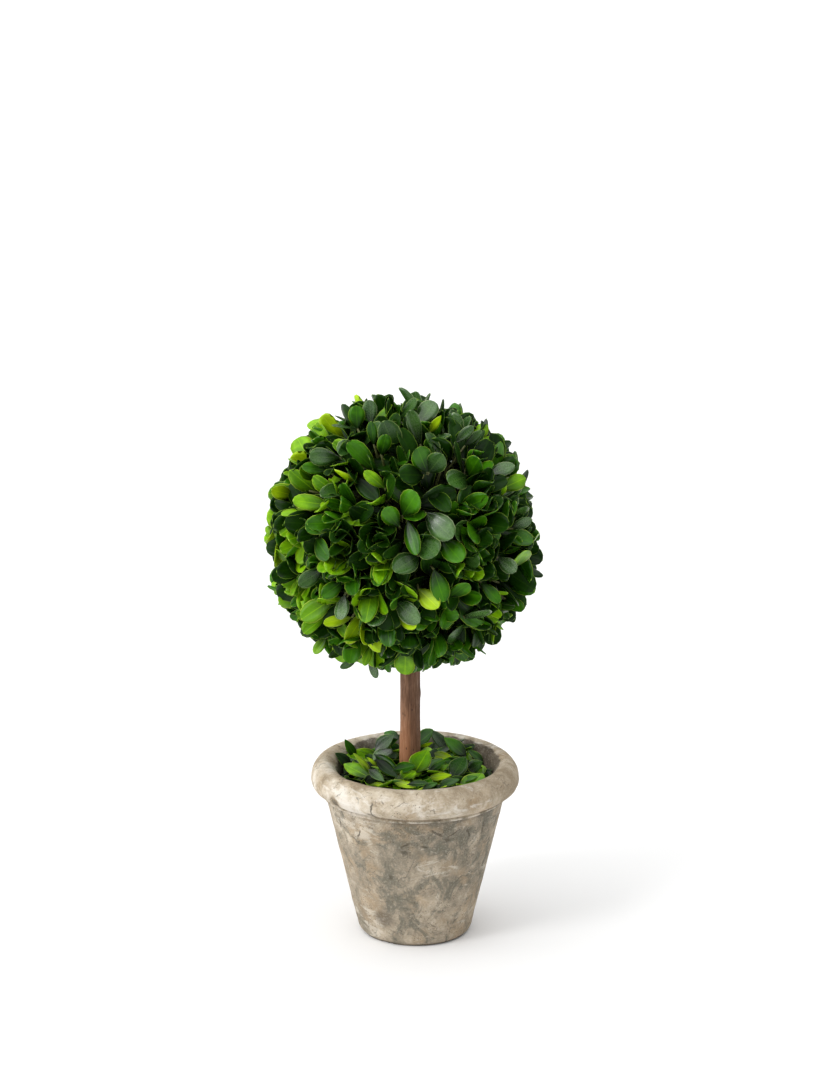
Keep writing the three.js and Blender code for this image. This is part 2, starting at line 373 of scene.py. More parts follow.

# Stains, and pale worn places below nought: turn, height, half width and half height, strength
potStains = [
    (-13, 0.0770, 0.0120, 0.0090, 1.0), (22, 0.0740, 0.0160, 0.0085, 0.9),
    (40, 0.0745, 0.0060, 0.0090, 0.8), (-47, 0.0580, 0.0065, 0.0095, 0.9),
    (-18, 0.0445, 0.0095, 0.0120, 0.9), (-17, 0.0300, 0.0095, 0.0080, 0.8),
    (26, 0.0405, 0.0120, 0.0115, 0.9), (-14, 0.0160, 0.0055, 0.0090, 0.7),
    (-54, 0.0225, 0.0045, 0.0065, 0.7), (60, 0.0560, 0.0060, 0.0120, 0.5),
    (-98, 0.1050, 0.0090, 0.0040, 0.8), (-51, 0.0930, 0.0035, 0.0040, 3.5),
    (-34, 0.0790, 0.0100, 0.0100, -0.9), (-44, 0.0160, 0.0090, 0.0100, -1.0),
    (25, 0.0520, 0.0100, 0.0040, -0.9), (36, 0.0200, 0.0080, 0.0080, 0.4),
    (0, 0.0200, 0.0200, 0.0110, 0.4), (2, 0.0560, 0.0120, 0.0060, -0.5),
    # the pale place at -40, on the rim's left front, is worn stone and also a painted highlight on the lit
    # side
    (-40, 0.0975, 0.0190, 0.0080, -0.8), (10, 0.0960, 0.0200, 0.0060, -0.4),
    (72, 0.0980, 0.0260, 0.0120, 0.90), (-62, 0.1050, 0.0120, 0.0035, 0.55),
    (-35, 0.1075, 0.0160, 0.0020, 0.5), (50, 0.1060, 0.0200, 0.0030, 0.4),
    (105, 0.0700, 0.0120, 0.0120, 0.9), (150, 0.0420, 0.0140, 0.0140, 0.9),
    (-120, 0.0680, 0.0150, 0.0090, 0.9), (-150, 0.0300, 0.0110, 0.0120, 0.8),
    (180, 0.0740, 0.0160, 0.0080, 0.9), (85, 0.0250, 0.0080, 0.0100, 0.7),
    (125, 0.0180, 0.0120, 0.0080, -0.8), (-100, 0.0400, 0.0100, 0.0160, -0.7),
    (170, 0.0600, 0.0120, 0.0060, -0.7),
]


def turnOff(turn, side):  # from one side round to the other, in degrees
    return (turn - side + 180) % 360 - 180


def nearness(turn, around, height, side, middle, wide, tall):  # one in the middle of a mark, else less
    across = math.radians(turnOff(turn, side)) * around / wide
    up = (height - middle) / tall
    return math.exp(-(across * across + up * up))


def markPot(piece):  # presses the marks into the outside, and keeps marks and stains for the stone's colour
    wear, stains = [], []
    for vertex in piece.data.vertices:
        spot = vertex.co
        around = math.hypot(spot.x, spot.y)
        place = (math.degrees(math.atan2(spot.x, -spot.y)), around, spot.z)
        deepest = 0
        outside = around > pot["footRadius"] - 0.004 + spot.z * 0.19 and spot.z > 0.002
        for *mark, deep in potMarks if outside else []:
            share = nearness(*place, *mark)
            spot.x -= deep * share * spot.x / around
            spot.y -= deep * share * spot.y / around
            deepest = max(deepest, share)
        wear.append(deepest)
        stains.append(sum(strength * nearness(*place, *stain) for *stain, strength in potStains))
    piece.data.attributes.new("wear", "FLOAT", "POINT").data.foreach_set("value", wear)
    piece.data.attributes.new("stain", "FLOAT", "POINT").data.foreach_set("value", stains)


def rimStone(tree, tone, laid, warm, stain, chalk):
    rimTone = minus(tree, sums(tree, "MULTIPLY_ADD", tone, 1.4, -0.2), laid)
    colour = ramp(tree, rimTone, [
        (0.34, (0.310, 0.245, 0.165)),
        (0.44, (0.460, 0.380, 0.275)),
        (0.52, (0.580, 0.500, 0.385)),
        (0.62, (0.735, 0.675, 0.585)),
    ])
    colour = blend(tree, times(tree, warm, 1.1), colour, (0.38, 0.26, 0.14, 1))
    colour = blend(tree, times(tree, stain, 0.5), colour, (0.30, 0.24, 0.16, 1))
    return blend(tree, times(tree, chalk, 0.9), colour, (0.80, 0.76, 0.69, 1))


def shadeAndDirtInside(tree, place, fineCloud):  # the inner wall darkened by grime and by painted shade, starting lower down in front
    flat = addNode(tree, "ShaderNodeCombineXYZ", {"X": place.outputs["X"], "Y": place.outputs["Y"]})
    radius = addNode(tree, "ShaderNodeVectorMath", {0: flat.outputs[0]}, operation="LENGTH").outputs["Value"]
    back = plus(tree, place.outputs["Y"], times(tree, place.outputs["X"], 0.5))
    ragged = plus(tree, radius, spread(tree, fineCloud, 0.35, 0.65, -0.0005, 0.0005))
    ragged = minus(tree, ragged, spread(tree, back, -0.010, 0.030, 0, 0.0036))
    above = spread(tree, place.outputs["Z"], 0.078, 0.083)
    inside = times(tree, spread(tree, ragged, 0.0486, 0.0476), above)
    return times(tree, inside, spread(tree, fineCloud, 0.35, 0.60, 0.95, 0.72))


def pitsAndCracks(tree, spot, height, rim):
    underRim = times(tree, spread(tree, height, 0.058, 0.070), spread(tree, height, 0.080, 0.084, 0.09, 0))
    rough = plus(tree, noiseOf(tree, spot, 0.015, 3), underRim)
    rough = spread(tree, minus(tree, rough, times(tree, rim, 0.05)), 0.47, 0.60)
    pits = times(tree, spread(tree, cells(tree, spot, 0.0016), 0.13, 0.28, 1, 0), rough)
    warp = {0: noiseOf(tree, spot, 0.010, 4), "Scale": 0.022}
    shift = addNode(tree, "ShaderNodeVectorMath", warp, operation="SCALE").outputs[0]
    bent = addNode(tree, "ShaderNodeVectorMath", {0: spot, 1: shift}, operation="ADD").outputs[0]
    cracks = spread(tree, cells(tree, bent, 0.014, "DISTANCE_TO_EDGE"), 0.006, 0.028, 1, 0)
    cracks = times(tree, cracks, spread(tree, noiseOf(tree, spot, 0.007, 2), 0.52, 0.60))
    return larger(tree, pits, times(tree, cracks, 0.7))


def laidStrokes(tree, spot, place, wander):  # kept to the front half
    strokes = 0.0
    for turn, middle, long, wide, slant in potStrokes:
        turn, slant = math.radians(turn), math.radians(slant)
        right = (math.cos(turn), math.sin(turn), 0)
        beside = addNode(tree, "ShaderNodeVectorMath", {0: spot, 1: right}, operation="DOT_PRODUCT")
        beside = plus(tree, beside.outputs["Value"], wander)
        up = minus(tree, place.outputs["Z"], middle)
        off = sums(tree, "MULTIPLY_ADD", beside, math.cos(slant), times(tree, up, -math.sin(slant)))
        along = sums(tree, "MULTIPLY_ADD", beside, math.sin(slant), times(tree, up, math.cos(slant)))
        stroke = spread(tree, sums(tree, "ABSOLUTE", off), wide / 2, wide, 1, 0)
        ends = spread(tree, sums(tree, "ABSOLUTE", along), long / 2, long / 2 - 0.0015)
        strokes = larger(tree, strokes, times(tree, stroke, ends))
    return times(tree, strokes, sums(tree, "LESS_THAN", place.outputs["Y"], 0))


def castStone():
    material, tree, shader = newMaterial("castStone")
    spot = objectSpot(tree)
    place = addNode(tree, "ShaderNodeSeparateXYZ", {"Vector": spot})
    height = place.outputs["Z"]

    cloud = noiseOf(tree, spot, 0.030, 8, 0.64, 0.6)
    fineCloud = noiseOf(tree, spot, 0.008, 8, 0.68, 0.4)
    grit = noiseOf(tree, spot, 0.0011, 3)
    tone = plus(tree, times(tree, cloud, 0.62), times(tree, fineCloud, 0.38))
    colour = ramp(tree, tone, [
        (0.35, (0.170, 0.150, 0.112)),
        (0.44, (0.270, 0.232, 0.172)),
        (0.50, (0.365, 0.305, 0.225)),
        (0.57, (0.470, 0.395, 0.295)),
        (0.66, (0.620, 0.550, 0.440)),
    ])
    warm = spread(tree, noiseOf(tree, spot, 0.020, 5, 0.6), 0.50, 0.68, 0, 0.40)
    colour = blend(tree, warm, colour, (0.44, 0.30, 0.165, 1))
    # grey-green stains, most of them under the rim
    laid = addNode(tree, "ShaderNodeAttribute", {}, attribute_name="stain").outputs["Fac"]
    laid = times(tree, laid, 0.13)
    stain = noiseOf(tree, objectSpot(tree, (1, 1, 0.8)), 0.012, 10, 0.70, 1.2)
    stain = plus(tree, plus(tree, stain, spread(tree, height, 0.030, 0.066, 0, 0.02)), laid)
    stain = spread(tree, stain, 0.50, 0.67, 0, 0.84)
    colour = blend(tree, stain, colour, (0.150, 0.142, 0.108, 1))
    # chalky scrapes
    chalk = noiseOf(tree, objectSpot(tree, (0.75, 0.75, 1.9)), 0.011, 9, 0.7, 0.8)
    chalk = spread(tree, minus(tree, chalk, laid), 0.54, 0.66, 0, 0.66)
    colour = blend(tree, chalk, colour, (0.66, 0.60, 0.50, 1))
    rim = spread(tree, height, 0.0868, 0.0895)
    colour = blend(tree, rim, colour, rimStone(tree, tone, laid, warm, stain, chalk))

    # pale lip, partly worn and partly a painted highlight along its edge, over a dark line of grime and
    # painted shadow
    edge = between(tree, height, 0.0862, 0.0866, 0.0874, 0.0884)
    edge = times(tree, edge, spread(tree, fineCloud, 0.42, 0.60, 0, 0.7))
    colour = blend(tree, edge, colour, (0.74, 0.68, 0.58, 1))
    dirtAndShade = between(tree, height, 0.0835, 0.0858, 0.0862, 0.0865)
    dirtAndShade = times(tree, dirtAndShade, spread(tree, cloud, 0.44, 0.58, 0.45, 0))
    # painted shade in the crease between the lip and the roll
    crease = between(tree, height, 0.0882, 0.0888, 0.0890, 0.0905)
    dirtAndShade = larger(tree, dirtAndShade, times(tree, crease, 0.15))
    # painted shade round the foot, where it meets the floor
    dirtAndShade = larger(tree, dirtAndShade, spread(tree, height, 0.0022, 0.0004, 0, 0.7))
    colour = blend(tree, dirtAndShade, colour, (0.115, 0.095, 0.068, 1))
    colour = blend(tree, shadeAndDirtInside(tree, place, fineCloud), colour, (0.085, 0.068, 0.048, 1))

    wander = spread(tree, fineCloud, 0.3, 0.7, -0.0010, 0.0010)
    marks = larger(tree, pitsAndCracks(tree, spot, height, rim), laidStrokes(tree, spot, place, wander))
    wear = addNode(tree, "ShaderNodeAttribute", {}, attribute_name="wear").outputs["Fac"]
    dark = larger(tree, times(tree, marks, 0.8), spread(tree, wear, 0.25, 0.9, 0, 0.70))
    colour = blend(tree, dark, colour, (0.085, 0.070, 0.050, 1))
    colour = blend(tree, spread(tree, grit, 0.50, 0.75, 0, 0.22), colour, (0.74, 0.68, 0.58, 1))
    colour = blend(tree, spread(tree, grit, 0.45, 0.25, 0, 0.22), colour, (0.16, 0.135, 0.10, 1))
    roughness = spread(tree, fineCloud, 0.3, 0.7, 0.95, 0.66)
    relief = bump(tree, noiseOf(tree, spot, 0.0032, 8, 0.66), 0.7, 0.0010)
    relief = bump(tree, minus(tree, chalk, stain), 0.4, 0.0006, relief)
    relief = bump(tree, grit, 0.4, 0.0003, relief)
    relief = bump(tree, marks, -1.0, 0.0007, relief)
    setSurface(tree, shader, colour, roughness, relief, 0.3)
    return material


def makePot():
    piece = turnProfile(potProfile(), pot["turns"])
    displace(piece, "CLOUDS", 0.035, 0.0011)
    displace(piece, "CLOUDS", 0.009, 0.00045)
    displace(piece, "CLOUDS", 0.0028, 0.00022)
    markPot(piece)
    for vertex in piece.data.vertices:  # the underside stays flat
        if vertex.co.z < 0.0006:
            vertex.co.z = 0
    bpy.ops.object.shade_smooth()
    finishPiece(piece, "pot_stone", [castStone()], "pot")
    print("pot ready", len(piece.data.polygons))


# Stem: a straight stick with its bark off

stem = {
    "footRadius": 0.0065,
    "slimRadius": 0.00605,
    "tipRadius": 0.0059,
    "swellFoot": 0.118,
    "swellTop": 0.130,
    "sides": 72,
    "rings": 190,
    "clearance": 0.0003,  # in its sockets
    "leafGap": 0.0002,  # between it and the leaves round it
}


def stemRadius(height, right):  # the foot swells most on the left
    if height > stem["swellTop"]:
        share = (height - stem["swellTop"]) / (stemHigh.z - stem["swellTop"])
        return mix(stem["slimRadius"], stem["tipRadius"], share)
    share = min(max((height - stem["swellFoot"]) / (stem["swellTop"] - stem["swellFoot"]), 0), 1)
    share = max(share * share * (3 - 2 * share), 0.7 * right)
    return mix(stem["footRadius"], stem["slimRadius"], share)


# Grooves that run up the stem: how far round from the front, width in degrees, depth
stemGrooves = [
    (8, 14, 0.00045), (-38, 7, 0.00018), (55, 9, 0.00025), (128, 12, 0.00035), (-112, 10, 0.00030),
]

# Knots: how far round, height, half the width, depth, and below nought a bump
stemKnots = [
    (-62, 0.128, 0.0009, 0.00055), (62, 0.123, 0.0011, 0.00045), (30, 0.108, 0.0008, 0.00040),
    (88, 0.150, 0.0018, -0.00050), (-150, 0.140, 0.0016, 0.00050),
]


def carveStem(piece):
    for vertex in piece.data.vertices:
        spot = vertex.co
        x, y = spot.x - stemX, spot.y
        if math.hypot(x, y) < stem["tipRadius"] / 2:
            continue
        angle = math.atan2(x, -y)
        turn = math.degrees(angle)
        radius = stemRadius(spot.z, math.sin(angle))
        for side, wide, deep in stemGrooves:
            wander = 5 * noise.noise(Vector((side, spot.z * 35, 0)))
            off = turnOff(turn - side, wander) / wide
            radius -= deep * math.exp(-off * off)
        for side, height, wide, deep in stemKnots:
            radius -= deep * nearness(turn, radius, spot.z, side, height, wide, wide * 1.4)
        grain = noise.noise(Vector((math.cos(angle) * 9, math.sin(angle) * 9, spot.z * 60)))
        fibre = noise.noise(Vector((math.cos(angle) * 26, math.sin(angle) * 26, spot.z * 110)))
        radius += 0.00013 * grain + 0.00007 * fibre
        spot.x = stemX + radius * math.sin(angle)
        spot.y = -radius * math.cos(angle)


def debarkedWood():
    material, tree, shader = newMaterial("debarkedWood")
    spot = objectSpot(tree, (1, 1, 0.09))
    place = addNode(tree, "ShaderNodeSeparateXYZ", {"Vector": objectSpot(tree)})
    height = place.outputs["Z"]
    broad = noiseOf(tree, spot, 0.0042, 4, 0.55)
    fibres = noiseOf(tree, spot, 0.0008, 5, 0.70)
    tone = plus(tree, times(tree, broad, 0.45), times(tree, fibres, 0.55))
    colour = ramp(tree, tone, [
        (0.36, (0.085, 0.037, 0.019)),
        (0.46, (0.170, 0.083, 0.045)),
        (0.56, (0.290, 0.150, 0.084)),
        (0.66, (0.450, 0.265, 0.165)),
    ])
    # painted shade: the stem is darkened on its right side, away from the light
    right = plus(tree, place.outputs["X"], spread(tree, broad, 0.35, 0.65, -0.0008, 0.0008))
    right = spread(tree, right, stemX - 0.0012, stemX + 0.0002)
    colour = blend(tree, times(tree, right, 0.40), colour, (0.085, 0.042, 0.024, 1))
    warmFoot = spread(tree, height, 0.150, 0.112)
    warmFoot = times(tree, warmFoot, spread(tree, right, 0, 1, 0.55, 0.15))
    colour = blend(tree, warmFoot, colour, (0.38, 0.150, 0.062, 1))
    pores = spread(tree, cells(tree, objectSpot(tree, (1, 1, 0.45)), 0.0022), 0.10, 0.22, 1, 0)
    patchy = noiseOf(tree, objectSpot(tree), 0.007, 2)
    patchy = plus(tree, patchy, spread(tree, height, 0.15, 0.12, 0, 0.07))
    pores = times(tree, pores, spread(tree, patchy, 0.46, 0.56))
    colour = blend(tree, times(tree, pores, 0.8), colour, (0.03, 0.015, 0.010, 1))
    relief = bump(tree, fibres, 0.5, 0.0003)
    relief = bump(tree, pores, -0.7, 0.0004, relief)
    setSurface(tree, shader, colour, spread(tree, fibres, 0.3, 0.7, 0.78, 0.5), relief, 0.3)
    return material


def makeStem():
    piece = startWith(
        bpy.ops.mesh.primitive_cylinder_add,
        vertices=stem["sides"],
        radius=stem["footRadius"],
        depth=stemHigh.z - stemLow.z,
        location=(stemX, 0, (stemLow.z + stemHigh.z) / 2),
    )
    editOn()
    selectIn(piece, "EDGE", lambda edge: abs(edge.verts[0].co.z - edge.verts[1].co.z) > 0.1)
    bpy.ops.mesh.subdivide(number_cuts=stem["rings"])
    selectIn(piece, "FACE", lambda face: len(face.verts) > 4)
    bpy.ops.mesh.inset(thickness=0.0012)
    editOff()
    carveStem(piece)
    bpy.ops.object.shade_smooth_by_angle(angle=math.radians(50))
    finishPiece(piece, "stem_wood", [debarkedWood()], "stem")
    print("stem ready", len(piece.data.polygons))


# Filling: a dark block of foam and moss in the pot, only glimpsed between loose leaves

filling = {"turns": 96, "rings": 9, "rough": 0.0022}


def mossyFoam(name, dark, light, size):
    material, tree, shader = newMaterial(name)
    spot = objectSpot(tree)
    grain = noiseOf(tree, spot, size, 6, 0.65)
    colour = ramp(tree, grain, [(0.35, dark), (0.7, light)])
    setSurface(tree, shader, colour, 0.95, bump(tree, grain, 0.8, 0.0015), 0.1)
    return material


def makeFilling():
    low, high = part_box("filling")
    piece = startWith(
        bpy.ops.mesh.primitive_cylinder_add,
        vertices=filling["turns"],
        radius=high.x,
        depth=high.z - low.z,
        location=(0, 0, (low.z + high.z) / 2),
    )
    footShare = (pot["footRadius"] - pot["wall"] + 0.0021) / high.x
    editOn()
    selectIn(piece, "FACE", lambda face: face.normal.z < -0.9)
    bpy.ops.transform.resize(value=(footShare, footShare, 1), center_override=(0, 0, low.z))
    selectIn(piece, "FACE", lambda face: face.normal.z > 0.9)
    for _ in range(filling["rings"]):
        bpy.ops.mesh.inset(thickness=high.x / (filling["rings"] + 1.5))
    editOff()
    displace(piece, "CLOUDS", 0.004, filling["rough"], "Z")
    cutSocket(piece, stemLow.z - stem["clearance"], high.z + 0.01)
    moss = mossyFoam("pottingMoss", (0.012, 0.010, 0.006), (0.06, 0.045, 0.025), 0.002)
    finishPiece(piece, "filling_moss", [moss], "filling")
    print("filling ready", len(piece.data.polygons))


# Leaves: each is a thin dished blade with a paler rim, laid out from arrays

leafRows = np.array([0, 0.07, 0.20, 0.37, 0.55, 0.73, 0.88, 0.965, 1.0])
leafTop = np.array([-1, -0.5, 0, 0.5, 1])  # places across the upper face
leafUnder = np.array([-0.5, 0, 0.5])  # places across the underside, between the two rims
leafBlade = {"thick": 0.00034, "stalk": 0.07, "widest": 0.64, "tiles": 4}


def leafOutline(pointed):  # half the width along the leaf, for leaves from round-ended to pointed
    blade = np.clip((leafRows - 0.05) / 0.95, 0, 1)
    widest = leafBlade["widest"]
    rise = np.sin(np.clip(blade / widest, 0, 1) * math.pi / 2) ** 0.9
    fall = np.sqrt(np.clip(1 - ((blade - widest) / (1 - widest)) ** 2, 0, 1))
    roundEnd = np.where(blade < widest, rise, fall)
    sharpEnd = np.sin(math.pi * blade**0.8) ** 0.9
    return np.maximum(mix(roundEnd, sharpEnd, pointed[:, None]), leafBlade["stalk"])


def leafFaces():
    # Points are numbered row by row: five on top, then three under. The tip is a single point.
    rowSize = len(leafTop) + len(leafUnder)
    lastRow = len(leafRows) - 2
    tip = (lastRow + 1) * rowSize
    faces, sides = [], []

    def across(row, column, under):
        if not under:
            return row * rowSize + column
        return row * rowSize + (0, 5, 6, 7, 4)[column]

    for row in range(lastRow):
        for under in (0, 1):
            for column in range(4):
                a, b = across(row, column, under), across(row, column + 1, under)
                c, d = across(row + 1, column + 1, under), across(row + 1, column, under)
                faces.append((d, c, b, a) if under else (a, b, c, d))
                sides.append(under)
    for column in range(4):
        faces.append((across(lastRow, column, 0), across(lastRow, column + 1, 0), tip))
        faces.append((tip, across(lastRow, column + 1, 1), across(lastRow, column, 1)))
        sides += [0, 1]
    rootTop = [across(0, column, 0) for column in range(5)]
    rootUnder = [across(0, column, 1) for column in (3, 2, 1)]
    faces.append(tuple(reversed(rootTop + rootUnder)))  # the cut end of the stalk
    sides.append(1)
    return faces, sides


def leafPoints(leaves):  # every point of every leaf, as one array of leaves by points by three
    root, along, face = (np.array([leaf[key] for leaf in leaves]) for key in ("root", "along", "face"))
    sizes = ("long", "wide", "cup", "bend", "twist", "point")
    size = {key: np.array([leaf[key] for leaf in leaves]) for key in sizes}
    across = np.cross(face, along)
    across /= np.linalg.norm(across, axis=1, keepdims=True)
    face = np.cross(along, across)

    angle = size["bend"][:, None] * leafRows  # the blade's middle line curves evenly
    lengths = size["long"][:, None] * np.diff(leafRows, prepend=0)
    forward = np.cumsum(lengths * np.cos(angle), axis=1)
    lift = np.cumsum(lengths * np.sin(angle), axis=1)
    middle = root[:, None] + along[:, None] * forward[..., None] + face[:, None] * lift[..., None]
    upward = face[:, None] * np.cos(angle)[..., None] - along[:, None] * np.sin(angle)[..., None]
    roll = size["twist"][:, None] * leafRows
    side = across[:, None] * np.cos(roll)[..., None] + upward * np.sin(roll)[..., None]
    upward = upward * np.cos(roll)[..., None] - across[:, None] * np.sin(roll)[..., None]

    half = size["wide"][:, None] / 2 * leafOutline(size["point"])
    dish = size["cup"][:, None] * (0.55 + 0.45 * np.sin(math.pi * leafRows))

    def section(places, drop):  # the points across, on an arc, with a drop towards the underside
        turn = places * dish[..., None]
        bend = half[..., None] / dish[..., None]
        out = bend * np.sin(turn) + drop * np.sin(turn)
        up = bend * (1 - np.cos(turn)) - drop * np.cos(turn)
        return out, up

    out, up = section(leafTop, 0)
    underOut, underUp = section(leafUnder, leafBlade["thick"])
    out, up = np.concatenate([out, underOut], 2), np.concatenate([up, underUp], 2)
    points = middle[:, :, None] + side[:, :, None] * out[..., None] + upward[:, :, None] * up[..., None]
    body = points[:, :-1].reshape(len(leaves), -1, 3)
    return np.concatenate([body, middle[:, -1:]], axis=1)


def leafMap(leaves, faces, sides):  # each leaf lies in one of a few tiles, its two faces side by side
    tiles = leafBlade["tiles"]
    rowSize = len(leafTop) + len(leafUnder)
    places = np.concatenate([leafTop, leafUnder])
    spots = [(places[i % rowSize], leafRows[i // rowSize]) for i in range(rowSize * (len(leafRows) - 1))]
    spots.append((0, 1))
    corners = np.array([
        ((spots[point][0] * 0.98 + 1) / 4 + 0.5 * side, spots[point][1] * 0.98 + 0.01)
        for face, side in zip(faces, sides)
        for point in face
    ])
    tile = np.array([leaf["tile"] for leaf in leaves])
    origin = np.stack([tile % tiles, tile // tiles], axis=1)
    return (corners[None] + origin[:, None]) / tiles


def newPiece(name, points, faces):
    mesh = bpy.data.meshes.new(name)
    mesh.from_pydata(points, [], faces)
    mesh.polygons.foreach_set("use_smooth", np.ones(len(faces), bool))
    piece = bpy.data.objects.new(name, mesh)
    bpy.context.scene.collection.objects.link(piece)
    return piece


def joinedLeaves(name, leaves):
    faces, sides = leafFaces()
    points = leafPoints(leaves)
    count = points.shape[1]
    allFaces = [[point + i * count for point in face] for i in range(len(leaves)) for face in faces]
    piece = newPiece(name, points.reshape(-1, 3).tolist(), allFaces)
    piece.data.polygons.foreach_set("material_index", np.tile(sides, len(leaves)))
    piece.data.uv_layers.new(name=leafUv).data.foreach_set("uv", leafMap(leaves, faces, sides).ravel())
    piece.data.validate()
    return piece


leafUv = "OFBake"  # the name of the leaves' UV map; the map's name tells the export to keep it

# Leaf colours: the upper face's dark and light ends, the underside, the rim and how rough the face is
leafKinds = {
    "deep": {
        "dark": (0.002, 0.015, 0.0002), "light": (0.013, 0.058, 0.001),
        "under": (0.032, 0.080, 0.004), "rim": (0.17, 0.30, 0.03), "rough": 0.36, "gloss": 0.14,
    },
    "green": {
        "dark": (0.006, 0.048, 0.0005), "light": (0.062, 0.235, 0.002),
        "under": (0.070, 0.170, 0.005), "rim": (0.30, 0.47, 0.04), "rough": 0.34, "gloss": 0.25,
    },
    "fresh": {
        "dark": (0.060, 0.200, 0.001), "light": (0.265, 0.550, 0.003),
        "under": (0.200, 0.410, 0.006), "rim": (0.48, 0.66, 0.06), "rough": 0.38, "gloss": 0.25,
    },
    "lime": {
        "dark": (0.250, 0.450, 0.001), "light": (0.450, 0.680, 0.005),
        "under": (0.430, 0.640, 0.010), "rim": (0.62, 0.78, 0.12), "rough": 0.42, "gloss": 0.25,
    },
    # grey and satin are paler, greyer greens, partly a painted sheen on top of their gloss
    "grey": {
        "dark": (0.013, 0.056, 0.005), "light": (0.058, 0.145, 0.022),
        "under": (0.090, 0.170, 0.040), "rim": (0.30, 0.44, 0.12), "rough": 0.30, "gloss": 0.42,
    },
    "satin": {
        "dark": (0.020, 0.070, 0.010), "light": (0.092, 0.200, 0.045),
        "under": (0.150, 0.230, 0.090), "rim": (0.40, 0.52, 0.24), "rough": 0.27, "gloss": 0.65,
    },
}


def tileSpot(tree):  # where on its leaf a point lies: across, along, and a number for its tile
    place = addNode(tree, "ShaderNodeUVMap", {}, uv_map=leafUv).outputs[0]
    spot = addNode(tree, "ShaderNodeSeparateXYZ", {"Vector": place})
    tiles = leafBlade["tiles"]
    acrossAll = times(tree, spot.outputs["X"], tiles * 2)
    alongAll = times(tree, spot.outputs["Y"], tiles)
    tile = addNode(tree, "ShaderNodeCombineXYZ", {
        "X": sums(tree, "FLOOR", acrossAll), "Y": sums(tree, "FLOOR", alongAll),
    }).outputs[0]
    chance = addNode(tree, "ShaderNodeTexWhiteNoise", {"Vector": tile}).outputs["Value"]
    return sums(tree, "FRACT", acrossAll), sums(tree, "FRACT", alongAll), chance


def leafFace(name, dark, light, rim, rough, gloss, veins):
    material, tree, shader = newMaterial(name)
    across, along, chance = tileSpot(tree)
    fromMiddle = sums(tree, "ABSOLUTE", minus(tree, times(tree, across, 2), 1))
    spot = addNode(tree, "ShaderNodeCombineXYZ", {
        "X": times(tree, across, 0.6), "Y": along, "Z": times(tree, chance, 37),
    }).outputs[0]
    blotch = noiseOf(tree, spot, 0.45, 4, 0.55)
    tone = plus(tree, spread(tree, blotch, 0.35, 0.68, 0, 0.55), times(tree, chance, 0.45))
    tone = plus(tree, tone, spread(tree, fromMiddle, 0.55, 1, 0, 0.22))
    colour = blend(tree, tone, (*dark, 1), (*light, 1))
    stalk = spread(tree, along, 0.12, 0.72, 0.95, 0)  # painted shade: darker towards the stalk, for the shadow deep among the leaves
    colour = blend(tree, stalk, colour, tuple(c * 0.2 for c in dark) + (1,))
    midrib = spread(tree, fromMiddle, 0.02, 0.07, 0.3, 0)
    slant = minus(tree, times(tree, along, 11), times(tree, fromMiddle, 2.2))
    wave = sums(tree, "ABSOLUTE", minus(tree, sums(tree, "FRACT", slant), 0.5))
    sideVeins = spread(tree, wave, 0.0, 0.10, 0.10, 0)
    lines = larger(tree, midrib, times(tree, sideVeins, veins))
    colour = blend(tree, lines, colour, (light[0] * 1.6 + 0.01, light[1] * 1.4 + 0.01, light[2] * 1.6, 1))
    edge = larger(tree, spread(tree, fromMiddle, 0.90, 0.96), spread(tree, along, 0.965, 0.985))
    edge = times(tree, edge, spread(tree, along, 0.1, 0.6, 0.3, 1.0))
    colour = blend(tree, edge, colour, (*rim, 1))
    roughness = spread(tree, noiseOf(tree, spot, 0.05, 3), 0.3, 0.7, rough + 0.06, rough - 0.05)
    relief = bump(tree, lines, -0.35, 0.0002)
    relief = bump(tree, blotch, 0.25, 0.0009, relief)
    setSurface(tree, shader, colour, roughness, relief, gloss)
    return material


def leafMaterials(kind):
    colours = leafKinds[kind]
    under = colours["under"]
    rim = colours["rim"]
    above = (colours["dark"], colours["light"], rim, colours["rough"], colours["gloss"], 1.0)
    below = ([c * 0.7 for c in under], [c * 1.15 for c in under], rim, 0.6, 0.1, 0.6)
    return [leafFace(kind + "LeafFace", *above), leafFace(kind + "LeafUnder", *below)]


materialsOf = {kind: leafMaterials(kind) for kind in leafKinds}


def makeLeafPieces(where, leaves, node):
    for kind in leafKinds:
        chosen = [leaf for leaf in leaves if leaf["kind"] == kind]
        if chosen:
            piece = joinedLeaves(where + "_" + kind, chosen)
            finishPiece(piece, where + "_" + kind, materialsOf[kind], node)
            print(where, kind, len(chosen))


def unit(vector):
    return vector / np.linalg.norm(vector)


def laidLeaf(dice, root, tip, facing, roll, wide, kind):  # a leaf from its stalk end to its tip
    root, tip = np.array(root), np.array(tip)
    long = np.linalg.norm(tip - root)
    along = (tip - root) / long
    face = unit(facing - along * np.dot(facing, along))
    return {
        "root": root,
        "along": along,
        "face": face * math.cos(roll) + np.cross(along, face) * math.sin(roll),
        "long": long,
        "wide": long * wide * mix(0.92, 1.12, dice.random()),
        "cup": mix(0.3, 1.0, dice.random()),
        "bend": mix(-0.3, 0.3, dice.random()),
        "twist": mix(-0.3, 0.3, dice.random()),
        "point": mix(0.75, 1.0, dice.random()),
        "tile": dice.randrange(leafBlade["tiles"] ** 2),
        "kind": kind,
    }


# Crown: sprigs all over a core, each a twig with pairs of leaves, every pair a quarter turn on

